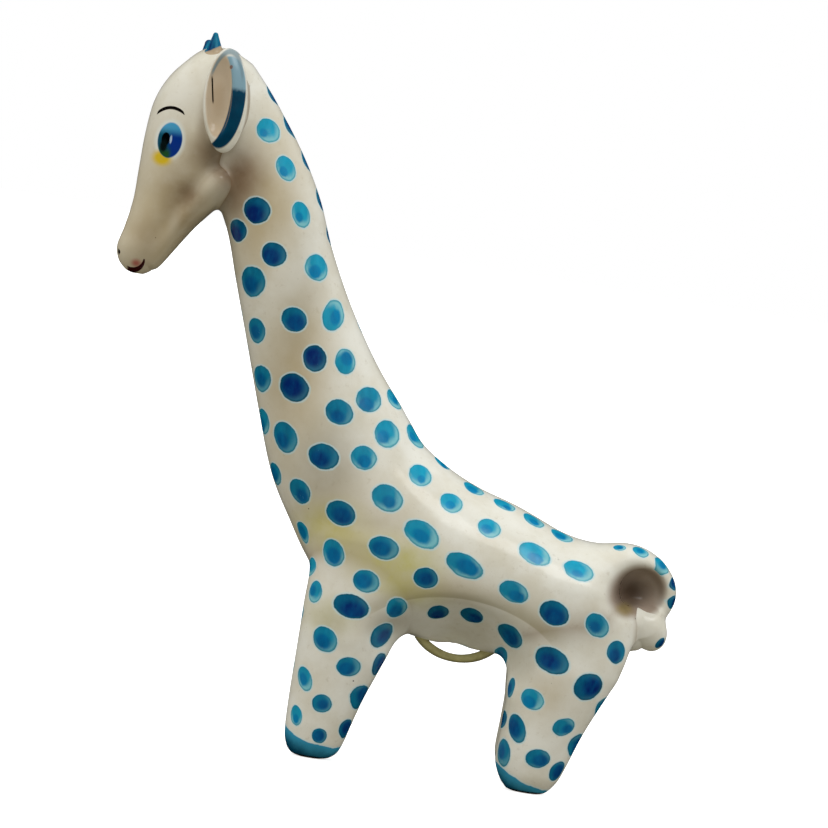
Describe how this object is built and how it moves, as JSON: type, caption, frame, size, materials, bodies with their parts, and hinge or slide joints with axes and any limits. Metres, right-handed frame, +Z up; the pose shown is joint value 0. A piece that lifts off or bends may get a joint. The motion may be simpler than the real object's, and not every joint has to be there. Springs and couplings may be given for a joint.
{
  "type": "ceramic giraffe figurine",
  "caption": "Standing glazed earthenware giraffe figurine with a drooping head, lop ears, short horns and a tail curled onto the rump, painted with blue dabs.",
  "frame": {"origin": "middle of the bounding box at the height of the soles, on the surface that the figurine stands on", "axes": "+Z up, the head looks along -X, the giraffe's left side faces -Y"},
  "size_m": [0.3308, 0.0882, 0.38],
  "materials": {
    "spotted_glaze": "glossy off-white tin glaze with brushed blue dabs",
    "face_glaze": "glossy off-white tin glaze with painted eyes, brows and mouth",
    "ear_glaze": "glossy off-white tin glaze with a blue rim stroke",
    "horn_glaze": "glossy blue glaze",
    "white_glaze": "glossy off-white tin glaze",
    "olive_glaze": "glossy yellow-green glaze"
  },
  "bodies": {
    "root": {"body_shell": "spotted_glaze", "neck": "spotted_glaze", "head": "face_glaze", "ear_left": "ear_glaze", "ear_right": "ear_glaze", "horn_left": "horn_glaze", "horn_right": "horn_glaze", "tail": "spotted_glaze", "tail_tuft": "white_glaze", "front_left_leg": "spotted_glaze", "front_right_leg": "spotted_glaze", "rear_left_leg": "spotted_glaze", "rear_right_leg": "spotted_glaze", "belly_loop": "olive_glaze"}
  },
  "joints": []
}
